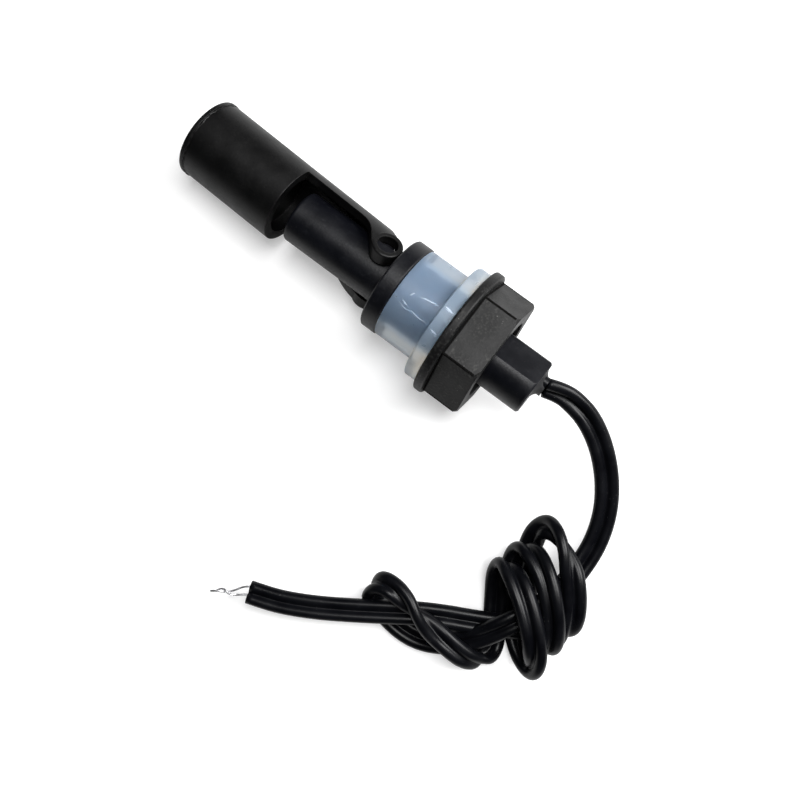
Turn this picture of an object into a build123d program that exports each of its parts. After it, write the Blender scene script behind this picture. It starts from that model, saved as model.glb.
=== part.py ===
from build123d import *
import math
import os

# Side-mounted float level switch for a 22 mm hole in a tank wall. All sizes are in millimetres.
#
# The switch is drawn along X, with its float tip towards +X and its cord towards -X, and with the
# float's hinge axis along Z. The origin is on the axis, at the front face of the silicone sleeve's
# flange, which is the outer face of the tank wall. At the end everything is rolled about the axis
# and pitched, so that the switch lies on a bench on its nut and its float tip, with Z up.

# Moulded body: stem, front ring, threaded shank and tail
wall_seat_x = 0.0
sleeve_grip = 10.0
ring_thickness = 3.9
ring_radius = 10.75
ring_edge = 0.35
stem_length = 24.8
stem_radius = 5.95
stem_tip_round = 0.8
thread_radius = 7.4
thread_end_x = -12.5
tail_radius = 6.35
tail_end_x = -24.0
tail_flat_height = 5.2
tail_edge = 0.4
bore_radius = 3.4
bore_tip_wall = 2.2
cord_bore_radius = 4.3
cord_bore_depth = 18.4

# Hinge: two studs on the stem, which the float's ears snap over
hinge_gap = 3.75
stud_radius = 2.22
stud_end = 8.35
stud_bevel = 50.0
stud_root_cover = 1.0
hinge_clearance = 0.07
ear_radius = 3.4
ear_face = 9.0
ear_edge = 0.4

# Float shell, its cap and its magnet
float_radius = 9.0
float_tip_radius = 9.1
cut_distance = 23.95
float_length = 47.8
arm_stem_gap = 0.95
arm_edge = 2.6
arm_rear = 3.0
arm_curve = 9.2
lower_arm_curve = 18.0
ear_overlap = 0.3
ear_lead_in = 75.0
lower_ear_lead_in = 85.0
ear_lead_out = 232.0
arm_rear_bevel = 0.8
arm_bevel_start_depth = 3.4
arm_bevel_end_depth = 2.25
recess_depth = 3.0
partition_wall = 1.4
chamber_wall = 1.2
cap_thickness = 1.0
cap_radius = 9.25
cap_edge = 0.35
cap_spigot = 1.4
cap_fit = 0.05
cap_dish_radius = 6.4
cap_dish_depth = 0.35
magnet_radius = 3.0
magnet_length = 4.0
magnet_fit = 0.05
magnet_pocket_wall = 1.1

# Silicone sleeve and flanged nut
sleeve_radius = 10.55
sleeve_flange_radius = 13.6
sleeve_flange = 3.3
sleeve_edge = 0.4
thread_clearance = 0.06
nut_flange_radius = 15.0
nut_flange = 2.1
nut_flange_edge = 0.5
nut_across_flats = 24.6
nut_hex_height = 8.5
nut_hex_turn = -3.0
nut_corner_chamfer = 0.7
nut_recess_radius = 9.35
nut_recess_depth = 5.0

# Reed contact and its wires, inside the stem
reed_tip_clearance = 0.4
reed_glass_length = 14.0
reed_glass_radius = 1.2
reed_glass_wall = 0.3
reed_glass_round = 0.96
reed_seal_length = 1.5
reed_lead_radius = 0.28
reed_lead_length = 2.6
reed_blade_width = 1.1
reed_blade_thickness = 0.2
reed_blade_overlap = 1.2
reed_blade_gap = 0.06
wire_radius = 0.55
wire_offset = 2.1
wire_bend = 0.9
wire_fan_length = 3.0
front_wire_turn = 2.6
front_wire_reach = 0.7
rear_wire_turn = 2.0
rear_wire_reach = 0.9
solder_radius = 0.62
solder_length = 1.8
shrink_wall = 0.25
shrink_length = 3.7
shrink_overhang = 1.2
shrink_clearance = 0.05
stripped_x = -6.4
potting_gap = 4.4
potting_collar_length = 1.6
potting_collar_radius = 3.8
potting_rim_radius = 1.75
potting_collar_hollow = 0.25
core_radius = 1.3
core_pitch = 2.7
core_web = 0.65
cord_shift_y = -1.2
cord_shift_z = 0.7

# Lie on the bench
hinge_roll = 36.5
float_droop = 3.1
knot_height = 16.0
knot_edge_round = 4.5
loop_height = 10.5
loop_edge_round = 2.5
mound_corner_round = 3.0
bend_share = 0.45
cord_tube_radius = 2.0
strand_radius = 0.3
strand_bend = 0.5

# Places along the axis, worked out from the sizes above
ring_back_x = wall_seat_x + sleeve_grip
ring_front_x = ring_back_x + ring_thickness
stem_tip_x = ring_front_x + stem_length
hinge_x = ring_front_x + hinge_gap
cut_x = hinge_x + cut_distance
chamber_x = cut_x + recess_depth + partition_wall
float_end_x = hinge_x + float_length
arm_inner_radius = stem_radius + arm_stem_gap
chamber_radius = float_radius - chamber_wall
nut_face_x = wall_seat_x - sleeve_flange
nut_hex_x = nut_face_x - nut_flange
nut_rear_x = nut_hex_x - nut_hex_height
cord_bore_x = tail_end_x + cord_bore_depth
bore_tip_x = stem_tip_x - bore_tip_wall
reed_end_x = bore_tip_x - reed_tip_clearance - reed_lead_length
reed_start_x = reed_end_x - reed_glass_length
potting_front_x = reed_start_x - reed_lead_length - potting_gap

# The bench touches the nut's flange and the float's cap, and the pitch follows from both
droop_drop = float_length * math.sin(math.radians(float_droop)) * math.sin(math.radians(hinge_roll))
seat_run = float_end_x + cap_thickness - nut_face_x
seat_rise = nut_flange_radius - droop_drop
bench_pitch = math.degrees(math.atan2(seat_rise, seat_run)
                           - math.asin(cap_radius / math.hypot(seat_run, seat_rise)))
bench_z = (-nut_flange_radius * math.cos(math.radians(bench_pitch))
           - nut_face_x * math.sin(math.radians(bench_pitch)))
lie = Rotation(0, bench_pitch, 0) * Rotation(hinge_roll, 0, 0)
droop = Pos(hinge_x, 0, 0) * Rotation(0, 0, -float_droop) * Pos(-hinge_x, 0, 0)


def rod(x_start, x_end, radius, y=0.0, z=0.0):
    """A round bar along X from one station to another."""
    bar = Cylinder(radius, x_end - x_start, align=(Align.CENTER, Align.CENTER, Align.MIN))
    return Pos(x_start, y, z) * Rotation(0, 90, 0) * bar


def ring_edges(solid, x, radius):
    """The circular edges of a solid at one station with one radius."""
    return [edge for edge in solid.edges().filter_by(GeomType.CIRCLE)
            if abs(edge.arc_center.X - x) < 0.01 and abs(edge.radius - radius) < 0.01]


def make_switch_body():
    """Stem, ring, shank, tail and hinge studs: one moulding, bored from the tail."""
    stem = rod(ring_back_x, stem_tip_x, stem_radius)
    stem = fillet(ring_edges(stem, stem_tip_x, stem_radius), stem_tip_round)
    ring = rod(ring_back_x, ring_front_x, ring_radius)
    ring = chamfer(ring.edges().filter_by(GeomType.CIRCLE), ring_edge)
    shank = rod(thread_end_x, ring_back_x, thread_radius)
    tail = rod(tail_end_x, thread_end_x, tail_radius)
    tail = chamfer(ring_edges(tail, tail_end_x, tail_radius), tail_edge)
    flat_block = Box(thread_end_x - tail_end_x, 4 * tail_radius, 2 * tail_flat_height,
                     align=(Align.MIN, Align.CENTER, Align.CENTER))
    tail = tail & (Pos(tail_end_x, 0, 0) * flat_block)
    body = stem + ring + shank + tail
    body += make_studs()
    body -= rod(tail_end_x - 1, bore_tip_x, bore_radius)
    body -= rod(tail_end_x - 1, cord_bore_x, cord_bore_radius)
    return body


def make_studs():
    """Two hinge studs with a slanted lead-in, which lets the float's ears snap on."""
    root = bore_radius + stud_root_cover
    stud = Pos(hinge_x, 0, root) * Cylinder(
        stud_radius, stud_end - root, align=(Align.CENTER, Align.CENTER, Align.MIN))
    slant = Box(6 * stud_radius, 6 * stud_radius, 3 * stud_radius,
                align=(Align.CENTER, Align.CENTER, Align.MIN))
    stud -= Pos(hinge_x, 0, stud_end) * Rotation(stud_bevel, 0, 0) * slant
    return [stud, mirror(stud, Plane.XY)]


def arm_outline(curve, lead_in_angle):
    """The float's arm seen along the hinge: trough edge, S-curve, a root inside the ear, cut-back rear."""
    outer_y = -2 * float_radius
    rear = hinge_x + arm_rear
    root_radius = ear_radius - ear_overlap
    lead_in = math.radians(lead_in_angle)
    lead_out = math.radians(ear_lead_out)
    start = (hinge_x + curve, -arm_edge)
    root_top = (hinge_x + root_radius * math.cos(lead_in), root_radius * math.sin(lead_in))
    root_low = (hinge_x + root_radius * math.cos(lead_out), root_radius * math.sin(lead_out))
    bevel_start = (rear - arm_rear_bevel, arm_bevel_start_depth - float_radius)
    bevel_end = (rear, arm_bevel_end_depth - float_radius)
    lines = [
        Line((cut_x, outer_y), (cut_x, -arm_edge)),
        Line((cut_x, -arm_edge), start),
        Spline(start, root_top, tangents=[(-1, 0), (-math.sin(lead_in), math.cos(lead_in))]),
        Line(root_top, root_low),
        Line(root_low, bevel_start),
        Line(bevel_start, bevel_end),
        Line(bevel_end, (rear, outer_y)),
        Line((rear, outer_y), (cut_x, outer_y)),
    ]
    return make_face(lines)


def make_float_shell():
    """Closed float cup, with the trough and the two hinge ears that reach back along the stem."""
    rear_x = hinge_x - ear_radius
    taper = Cone(float_radius, float_tip_radius, float_end_x - cut_x,
                 align=(Align.CENTER, Align.CENTER, Align.MIN))
    cup = Pos(cut_x, 0, 0) * Rotation(0, 90, 0) * taper
    arms = rod(rear_x, cut_x, float_radius)
    bosses = Pos(hinge_x, 0, 0) * Cylinder(ear_radius, 2 * ear_face)
    bosses = fillet(bosses.edges().filter_by(GeomType.CIRCLE), ear_edge)
    upper = extrude(arm_outline(arm_curve, ear_lead_in), 2 * float_radius)
    lower = extrude(arm_outline(lower_arm_curve, lower_ear_lead_in), -2 * float_radius)
    shell = cup + (arms & (upper + lower)) + bosses
    shell -= rod(rear_x - 1, cut_x + recess_depth, arm_inner_radius)
    shell -= rod(chamber_x, float_end_x + 1, chamber_radius)
    shell -= Pos(hinge_x, 0, 0) * Cylinder(stud_radius + hinge_clearance, 4 * float_radius)
    pocket_radius = magnet_radius + magnet_fit
    shell += (rod(chamber_x, chamber_x + magnet_length, pocket_radius + magnet_pocket_wall)
              - rod(chamber_x, chamber_x + magnet_length + 1, pocket_radius))
    return droop * shell


def make_float_cap():
    """Welded end cap: a thin disc that stands a little proud of the float, with a spigot inside."""
    end_x = float_end_x + cap_thickness
    disc = rod(float_end_x, end_x, cap_radius)
    disc = fillet(ring_edges(disc, end_x, cap_radius), cap_edge)
    spigot_radius = chamber_radius - cap_fit
    disc += (rod(float_end_x - cap_spigot, float_end_x, spigot_radius)
             - rod(float_end_x - cap_spigot - 1, float_end_x, spigot_radius - partition_wall))
    disc -= rod(end_x - cap_dish_depth, end_x + 1, cap_dish_radius)
    return droop * disc


def make_float_magnet():
    """Disc magnet in its pocket on the partition, next to the stem's tip."""
    return droop * rod(chamber_x, chamber_x + magnet_length, magnet_radius)


def make_sealing_sleeve():
    """Silicone sleeve with its flange; the nut squeezes it until it grips the hole."""
    body = rod(wall_seat_x, ring_back_x, sleeve_radius)
    flange = rod(nut_face_x, wall_seat_x, sleeve_flange_radius)
    flange = fillet(flange.edges().filter_by(GeomType.CIRCLE), sleeve_edge)
    return body + flange - rod(nut_face_x - 1, ring_back_x + 1, thread_radius + thread_clearance)


def make_clamp_nut():
    """Hexagon nut with a round flange in front and a wide recess in its rear face."""
    flange = rod(nut_hex_x, nut_face_x, nut_flange_radius)
    flange = fillet(flange.edges().filter_by(GeomType.CIRCLE), nut_flange_edge)
    corner_radius = nut_across_flats / math.sqrt(3)
    hexagon = Rotation(0, 0, nut_hex_turn) * RegularPolygon(corner_radius, 6)
    prism = Pos(nut_rear_x, 0, 0) * Rotation(0, 90, 0) * extrude(hexagon, nut_hex_height)
    crown = Cone(corner_radius - nut_corner_chamfer, corner_radius + nut_hex_height - nut_corner_chamfer,
                 nut_hex_height, align=(Align.CENTER, Align.CENTER, Align.MIN))
    prism = prism & (Pos(nut_rear_x, 0, 0) * Rotation(0, 90, 0) * crown)
    nut = flange + prism
    nut -= rod(nut_rear_x - 1, nut_face_x + 1, thread_radius + thread_clearance)
    nut -= rod(nut_rear_x - 1, nut_rear_x + nut_recess_depth, nut_recess_radius)
    return nut


def make_reed_blades():
    """Two flat springy blades that nearly touch in the glass, each drawn out to a round lead."""
    middle_x = (reed_start_x + reed_end_x) / 2
    offset_z = (reed_blade_thickness + reed_blade_gap) / 2
    blades = []
    for side in (-1, 1):
        seal_x = middle_x + side * (reed_glass_length / 2 - reed_seal_length)
        inner_x = middle_x - side * reed_blade_overlap / 2
        blade = Box(abs(seal_x - inner_x), reed_blade_width, reed_blade_thickness)
        blade = Pos((seal_x + inner_x) / 2, 0, side * offset_z) * blade
        end_x = middle_x + side * (reed_glass_length / 2 + reed_lead_length)
        lead = rod(min(seal_x, end_x), max(seal_x, end_x), reed_lead_radius, z=side * offset_z)
        blades.append(blade + lead)
    return blades


def make_reed_glass(blades):
    """Sealed glass capsule with round ends, hollow around the blades."""
    glass = rod(reed_start_x, reed_end_x, reed_glass_radius)
    glass = fillet(glass.edges().filter_by(GeomType.CIRCLE), reed_glass_round)
    inner = reed_glass_radius - reed_glass_wall
    glass -= rod(reed_start_x + reed_seal_length, reed_end_x - reed_seal_length, inner)
    return glass - blades[0] - blades[1]


def make_wire(end_x, side, reach_x):
    """Insulated wire from a stripped core to one reed lead, bent in at its end."""
    offset_y = side * wire_offset
    points = [(stripped_x, cord_shift_y, cord_shift_z + side * core_pitch / 2),
              (stripped_x + wire_fan_length, offset_y, 0),
              (end_x, offset_y, 0),
              (reach_x, side * solder_radius, 0)]
    path = FilletPolyline(*points, radius=wire_bend)
    return sweep(Plane(path @ 0, z_dir=path % 0) * Circle(wire_radius), path=path)


def make_reed_unit():
    """Reed, its two wires, the solder joints and the shrink sleeve over the rear joint."""
    rear_blade, front_blade = make_reed_blades()
    glass = make_reed_glass([rear_blade, front_blade])
    lead_z = (reed_blade_thickness + reed_blade_gap) / 2
    rear_lead_x = reed_start_x - reed_lead_length
    front_lead_x = reed_end_x + reed_lead_length
    front_joint = rod(front_lead_x - solder_length, front_lead_x, solder_radius, z=lead_z)
    rear_joint = rod(rear_lead_x, rear_lead_x + solder_length, solder_radius, z=-lead_z)
    long_tube = make_wire(front_lead_x - front_wire_turn, 1, front_lead_x - front_wire_reach)
    short_tube = make_wire(rear_lead_x - rear_wire_turn, -1, rear_lead_x + rear_wire_reach)
    long_wire = long_tube - front_joint
    short_wire = short_tube - rear_joint
    shrink_radius = solder_radius + shrink_clearance
    shrink_x = rear_lead_x - shrink_overhang
    shrink = rod(shrink_x, shrink_x + shrink_length, shrink_radius + shrink_wall, z=-lead_z)
    shrink -= rod(shrink_x - 1, shrink_x + shrink_length + 1, shrink_radius, z=-lead_z)
    shrink -= short_tube
    front_joint -= front_blade
    rear_joint -= rear_blade
    return {
        "reed_glass": glass - rear_joint - front_joint,
        "reed_blade_front": front_blade,
        "reed_blade_rear": rear_blade,
        "solder_joint_front": front_joint,
        "solder_joint_rear": rear_joint,
        "shrink_sleeve": shrink,
        "inner_wire_long": long_wire,
        "inner_wire_short": short_wire,
    }


def twin_cores(x_start, x_end):
    """Both cores of the twin cord, side by side along the hinge direction."""
    cores = [rod(x_start, x_end, core_radius, cord_shift_y, cord_shift_z + side * core_pitch / 2)
             for side in (-1, 1)]
    web = Pos(x_start, cord_shift_y, cord_shift_z) * Box(
        x_end - x_start, core_web, core_pitch, align=(Align.MIN, Align.CENTER, Align.CENTER))
    return cores[0] + cores[1] + web


def make_potting(inner_pieces):
    """Resin that fills the tail's bore around the cord, drawn up to it in a small hollow collar."""
    plug = rod(tail_end_x, cord_bore_x, cord_bore_radius) + rod(cord_bore_x, potting_front_x, bore_radius)
    rim_x = tail_end_x - potting_collar_length
    middle_x = (tail_end_x + rim_x) / 2 + potting_collar_hollow
    middle_radius = (potting_collar_radius + potting_rim_radius) / 2 - potting_collar_hollow
    outline = [
        Line((tail_end_x, 0), (tail_end_x, potting_collar_radius)),
        ThreePointArc((tail_end_x, potting_collar_radius), (middle_x, middle_radius),
                      (rim_x, potting_rim_radius)),
        Line((rim_x, potting_rim_radius), (rim_x, 0)),
        Line((rim_x, 0), (tail_end_x, 0)),
    ]
    plug += Pos(0, cord_shift_y, cord_shift_z) * revolve(make_face(outline), Axis.X)
    for piece in inner_pieces:
        plug -= piece
    return plug


def smooth_route(points):
    """Straight runs joined by tangent arcs, each as wide as its shorter run allows."""
    vectors = [Vector(*point) for point in points]
    radii = []
    for before, corner, after in zip(vectors, vectors[1:], vectors[2:]):
        run_in, run_out = corner - before, after - corner
        turn = math.radians(run_in.get_angle(run_out))
        shorter = min(run_in.length, run_out.length)
        radii.append(bend_share * shorter / math.tan(turn / 2))
    print("cord bend radii", [round(radius, 1) for radius in radii])
    return FilletPolyline(*vectors, radius=radii)


def make_tube(path, radius):
    """A round tube along a path."""
    return sweep(Plane(path @ 0, z_dir=path % 0) * Circle(radius), path=path)


def bench_mound(outline, height, edge_round):
    """A closed block with rounded edges that stands for a bundle of turns on the bench."""
    face = make_face(Polyline(*outline, close=True))
    face = fillet(face.vertices(), mound_corner_round)
    block = extrude(Pos(0, 0, bench_z) * face, height)
    flat_edges = block.edges().filter_by(lambda edge: abs(edge.tangent_at(0.5).Z) < 0.01)
    return fillet(flat_edges, edge_round)


# The cord's route: out of the tail, round to the knot, and from the small loop to its free end
cord_exit = lie * Pos(tail_end_x - potting_collar_length, cord_shift_y, cord_shift_z)
lead_points = [tuple(cord_exit.position), (-28.6, -2.5, 1.0), (-32.0, -2.7, 0.3), (-36.9, -1.9, -1.2),
               (-42.5, 0.9, -3.2), (-47.7, 5.3, -5.2), (-51.8, 10.6, -7.0), (-54.4, 16.6, -8.5),
               (-55.0, 27.0, -8.8)]
end_points = [(-38.0, 50.8, -8.8), (-33.1, 53.7, -8.8), (-27.9, 57.4, -8.9), (-21.6, 61.8, -9.0),
              (-15.4, 65.9, -9.1), (-9.4, 69.3, -9.3), (-5.1, 71.2, -9.5), (-1.0, 72.6, -9.6)]
knot_outline = [(-39.4, 32.5), (-41.6, 18.6), (-49.5, 19.0), (-57.8, 24.6), (-62.6, 35.5),
                (-63.4, 45.0), (-61.0, 50.6), (-50.0, 48.0), (-42.4, 41.5)]
loop_outline = [(-36.0, 45.0), (-46.6, 44.0), (-53.0, 51.0), (-51.0, 58.4), (-41.0, 59.8),
                (-31.0, 58.6), (-23.0, 57.4), (-20.8, 52.6), (-24.0, 48.4), (-30.5, 47.0)]
strand_a_points = [(-1.0, 72.6, -9.6), (0.9, 73.3, -9.4), (3.2, 75.2, -9.6), (5.6, 77.4, -9.4)]
strand_b_points = [(-1.0, 72.6, -9.6), (0.9, 74.5, -9.6), (2.6, 75.9, -9.0), (3.9, 76.2, -9.8)]


def make_cord_pieces(inside):
    """The cord outside the switch: two tubes, the knot, the small loop and the bare ends."""
    knot = bench_mound(knot_outline, knot_height, knot_edge_round)
    loop = bench_mound(loop_outline, loop_height, loop_edge_round) - knot
    lead = make_tube(smooth_route(lead_points), cord_tube_radius) - knot
    for piece in inside:
        lead -= lie * piece
    end_run = make_tube(smooth_route(end_points), cord_tube_radius) - loop - knot
    across = Vector(end_points[-1]) - Vector(end_points[-2])
    side = Vector(-across.Y, across.X, 0).normalized() * (core_pitch / 2)
    strands = []
    for points, sign in ((strand_a_points, -1), (strand_b_points, 1)):
        shifted = [Vector(*points[0]) + side * sign] + [Vector(*point) for point in points[1:]]
        path = FilletPolyline(*shifted, radius=strand_bend)
        strands.append(make_tube(path, strand_radius) - end_run)
    strands[1] -= strands[0]
    return {"cord_lead": lead, "cord_knot": knot, "cord_loop": loop, "cord_end": end_run,
            "bare_strand_a": strands[0], "bare_strand_b": strands[1]}


def largest_solid(shape):
    """The biggest solid of a shape, without crumbs that a cut may leave."""
    return max(shape.solids(), key=lambda solid: solid.volume)


pieces = {
    "switch_body": make_switch_body(),
    "float_shell": make_float_shell(),
    "float_cap": make_float_cap(),
    "float_magnet": make_float_magnet(),
    "sealing_sleeve": make_sealing_sleeve(),
    "clamp_nut": make_clamp_nut(),
}
pieces.update(make_reed_unit())
wires = [pieces["inner_wire_long"], pieces["inner_wire_short"]]
pieces["cord_root"] = twin_cores(tail_end_x - potting_collar_length, stripped_x) - wires[0] - wires[1]
resin_cuts = [pieces["cord_root"]] + wires
pieces["potting_resin"] = make_potting(resin_cuts)

os.makedirs("parts", exist_ok=True)
for name, piece in pieces.items():
    export_step(lie * largest_solid(piece), f"parts/{name}.step")
for name, piece in make_cord_pieces([pieces["cord_root"], pieces["potting_resin"]]).items():
    export_step(largest_solid(piece), f"parts/{name}.step")

hinge_point = lie * Pos(hinge_x, 0, 0)
print("bench pitch", round(bench_pitch, 4), "bench z", round(bench_z, 3))
print("hinge at", hinge_point.position, "float end x", round(float_end_x, 2))
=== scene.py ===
# %% [markdown]
# # Dressing a float level switch
#
# The object is a small side-mounted level switch: a hollow black float swings on a black stem, a
# soft silicone sleeve and a flanged nut clamp it in the wall of a tank, and a thin twin cord leaves
# its tail. It lies on a white table with the cord knotted up beside it.
#
# The solid parts come ready-made from the CAD frame, in metres, so nothing here moves or resizes
# them. This file gives them their finishes and adds what is better made as a mesh: the cord, its
# bare strands, the steps behind the hinge studs, painted highlights on the folds in the rubber,
# painted shadow lines on the nut and the rough bead left where the float's cap was welded on.

# %% Load the frame
import math

import bmesh
import bpy
from mathutils import Matrix, Vector


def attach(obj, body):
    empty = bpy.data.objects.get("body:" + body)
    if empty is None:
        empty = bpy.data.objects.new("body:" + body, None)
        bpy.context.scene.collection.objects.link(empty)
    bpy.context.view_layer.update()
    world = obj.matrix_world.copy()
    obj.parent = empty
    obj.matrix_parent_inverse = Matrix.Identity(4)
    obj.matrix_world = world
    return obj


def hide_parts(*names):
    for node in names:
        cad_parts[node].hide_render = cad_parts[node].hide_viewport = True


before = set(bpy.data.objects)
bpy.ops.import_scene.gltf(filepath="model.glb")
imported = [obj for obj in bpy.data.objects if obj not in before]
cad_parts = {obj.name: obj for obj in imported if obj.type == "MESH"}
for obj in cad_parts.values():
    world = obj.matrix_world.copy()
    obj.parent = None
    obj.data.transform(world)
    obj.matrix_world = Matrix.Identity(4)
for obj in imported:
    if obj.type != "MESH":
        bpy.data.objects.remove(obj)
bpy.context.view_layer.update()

print("solid parts:", len(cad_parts))

# %% [markdown]
# ## The switch's own axes
#
# The switch rests on its nut and on its float's tip, so it is tipped a few degrees, and it has also
# rolled about its own length. It is easier to think in the switch's own axes, with X along the stem
# and Z along the hinge, and to let one matrix turn such a point into a place on the table.

# %% From the switch's axes to the table
MM = 0.001
bench_pitch = math.radians(3.4424)
hinge_roll = math.radians(36.5)
hinge_x = 17.65
float_droop = math.radians(3.1)
lie = Matrix.Rotation(bench_pitch, 4, "Y") @ Matrix.Rotation(hinge_roll, 4, "X")
hinge_shift = Matrix.Translation((hinge_x * MM, 0, 0))
float_lie = lie @ hinge_shift @ Matrix.Rotation(-float_droop, 4, "Z") @ hinge_shift.inverted()


def on_switch(x, y, z):
    """A point in millimetres in the switch's axes, as a place in metres."""
    return lie @ (Vector((x, y, z)) * MM)


cord_exit = on_switch(-25.6, -1.2, 0.7)
print("cord leaves at", [round(value, 4) for value in cord_exit])

# %% [markdown]
# ## The camera
#
# The photograph looks almost straight down on the table. The two direction vectors below are the
# picture's right-hand side and its bottom as they run over the table, and the lens is a normal one,
# so near parts look a little larger than far ones.

# %% Camera over the table
camera_place = Vector((-16.054, 18.793, 210.383)) * MM
picture_right = Vector((-0.79815, -0.60036, -0.05018)).normalized()
picture_down = Vector((-0.59918, 0.79973, -0.03768))

camera_data = bpy.data.cameras.new("table_camera")
camera_data.lens = 45
camera_data.sensor_width = 36
camera_data.clip_start = 0.01
camera = bpy.data.objects.new("table_camera", camera_data)
bpy.context.scene.collection.objects.link(camera)
toward_viewer = picture_right.cross(-picture_down).normalized()
picture_up = toward_viewer.cross(picture_right)
turned = Matrix((picture_right, picture_up, toward_viewer)).transposed()
camera.matrix_world = Matrix.Translation(camera_place) @ turned.to_4x4()
bpy.context.scene.camera = camera
print("camera looks along", [round(-value, 3) for value in toward_viewer])

# %% [markdown]
# ## Table and light
#
# A white table under two soft lamps gives faint shadows and a clean white background: one lamp hangs
# overhead and the other stands to the right. The table is a plain diffuse grey-white. To the camera
# it glows as well, just enough for the lit part to reach white while the shadows stay visible, and
# more far off, where the lamps don't reach. Seen through the rubber it is plain white. No extra light
# reaches the switch from that glow.

# %% Helpers for materials
def new_material(name):
    """A material with an empty node tree and its output."""
    material = bpy.data.materials.new(name)
    material.use_nodes = True
    tree = material.node_tree
    tree.nodes.clear()
    output = tree.nodes.new("ShaderNodeOutputMaterial")
    return material, tree, output


def add_node(tree, kind, **settings):
    """A node with its properties set."""
    node = tree.nodes.new(kind)
    for key, value in settings.items():
        setattr(node, key, value)
    return node


def add_math(tree, operation, first, second):
    """A math node on two values, each a socket or a number; returns its result."""
    node = add_node(tree, "ShaderNodeMath", operation=operation)
    for socket, value in zip(node.inputs, (first, second)):
        if hasattr(value, "links"):
            tree.links.new(value, socket)
        else:
            socket.default_value = value
    return node.outputs[0]


def add_range(tree, value, low, high, to_low=0.0, to_high=1.0):
    """Maps a value from one range to another, clamped; returns its result."""
    node = add_node(tree, "ShaderNodeMapRange")
    tree.links.new(value, node.inputs["Value"])
    node.inputs["From Min"].default_value = low
    node.inputs["From Max"].default_value = high
    node.inputs["To Min"].default_value = to_low
    node.inputs["To Max"].default_value = to_high
    return node.outputs["Result"]


def choose_shader(tree, factor, first, second):
    """The first node's shader where the factor is 0 and the second's where it is 1."""
    node = add_node(tree, "ShaderNodeMixShader")
    tree.links.new(factor, node.inputs["Fac"])
    tree.links.new(first.outputs[0], node.inputs[1])
    tree.links.new(second.outputs[0], node.inputs[2])
    return node.outputs[0]


# %% White table
table_height = -14.775 * MM
table_half = 1.6
table_grey = (0.62, 0.62, 0.62, 1)
near_reach, far_reach = 0.2, 0.7
near_glow, far_glow = 0.44, 1.0


def new_mesh_piece(name, shape):
    """A mesh object from a bmesh, linked into the scene."""
    mesh = bpy.data.meshes.new(name)
    shape.to_mesh(mesh)
    shape.free()
    piece = bpy.data.objects.new(name, mesh)
    bpy.context.scene.collection.objects.link(piece)
    return piece


shape = bmesh.new()
bmesh.ops.create_grid(shape, x_segments=8, y_segments=8, size=table_half)
bmesh.ops.translate(shape, verts=shape.verts, vec=(0, 0, table_height))
table = new_mesh_piece("table", shape)

table_white, tree, output = new_material("table_white")
paper = add_node(tree, "ShaderNodeBsdfDiffuse")
paper.inputs["Color"].default_value = table_grey
seen_by = add_node(tree, "ShaderNodeLightPath").outputs
across = add_node(tree, "ShaderNodeVectorMath", operation="LENGTH")
tree.links.new(add_node(tree, "ShaderNodeTexCoord").outputs["Object"], across.inputs[0])
level = add_range(tree, across.outputs["Value"], near_reach, far_reach, near_glow, far_glow)
glow = add_node(tree, "ShaderNodeEmission")
tree.links.new(add_math(tree, "MULTIPLY", seen_by["Is Camera Ray"], level), glow.inputs["Strength"])
both = add_node(tree, "ShaderNodeAddShader")
tree.links.new(paper.outputs[0], both.inputs[0])
tree.links.new(glow.outputs[0], both.inputs[1])
behind_rubber = add_node(tree, "ShaderNodeEmission")
behind_rubber.inputs["Strength"].default_value = 1.0
shown = choose_shader(tree, seen_by["Is Transmission Ray"], both, behind_rubber)
tree.links.new(shown, output.inputs["Surface"])
table.data.materials.append(table_white)
print("table is", 2 * table_half, "m wide, at", round(table_height, 5), "m")

# %% Soft light
room_strength, backdrop_strength = 0.03, 1.0


def plain_background(tree, strength):
    """A white background of one strength."""
    node = add_node(tree, "ShaderNodeBackground")
    node.inputs["Color"].default_value = (1.0, 1.0, 1.0, 1)
    node.inputs["Strength"].default_value = strength
    return node


world = bpy.data.worlds.new("studio")
bpy.context.scene.world = world
world.use_nodes = True
tree = world.node_tree
tree.nodes.clear()
output = tree.nodes.new("ShaderNodeOutputWorld")
room = plain_background(tree, room_strength)
backdrop = plain_background(tree, backdrop_strength)
seen_by = add_node(tree, "ShaderNodeLightPath").outputs
shown = choose_shader(tree, seen_by["Is Camera Ray"], room, backdrop)
tree.links.new(shown, output.inputs["Surface"])


def add_softbox(name, place, aim, size, power):
    """A square area lamp at one place, facing another."""
    lamp = bpy.data.lights.new(name, "AREA")
    lamp.shape = "SQUARE"
    lamp.size = size
    lamp.energy = power
    holder = bpy.data.objects.new(name, lamp)
    bpy.context.scene.collection.objects.link(holder)
    facing = (aim - place).to_track_quat("-Z", "Y")
    holder.matrix_world = Matrix.Translation(place) @ facing.to_matrix().to_4x4()


table_middle = Vector((-0.01, 0.02, 0.0))
top_place = table_middle + 0.10 * picture_right - 0.10 * picture_down + Vector((0, 0, 0.60))
side_place = table_middle + 0.45 * picture_right - 0.15 * picture_down + Vector((0, 0, 0.40))
softboxes = [("top_softbox", top_place, 0.26, 3.9), ("key_softbox", side_place, 0.32, 6.5)]
for name, place, size, power in softboxes:
    add_softbox(name, place, table_middle, size, power)
    print(name, "stands", round((place - table_middle).length, 3), "m from the switch")
bpy.context.scene.view_settings.view_transform = "Standard"
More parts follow.
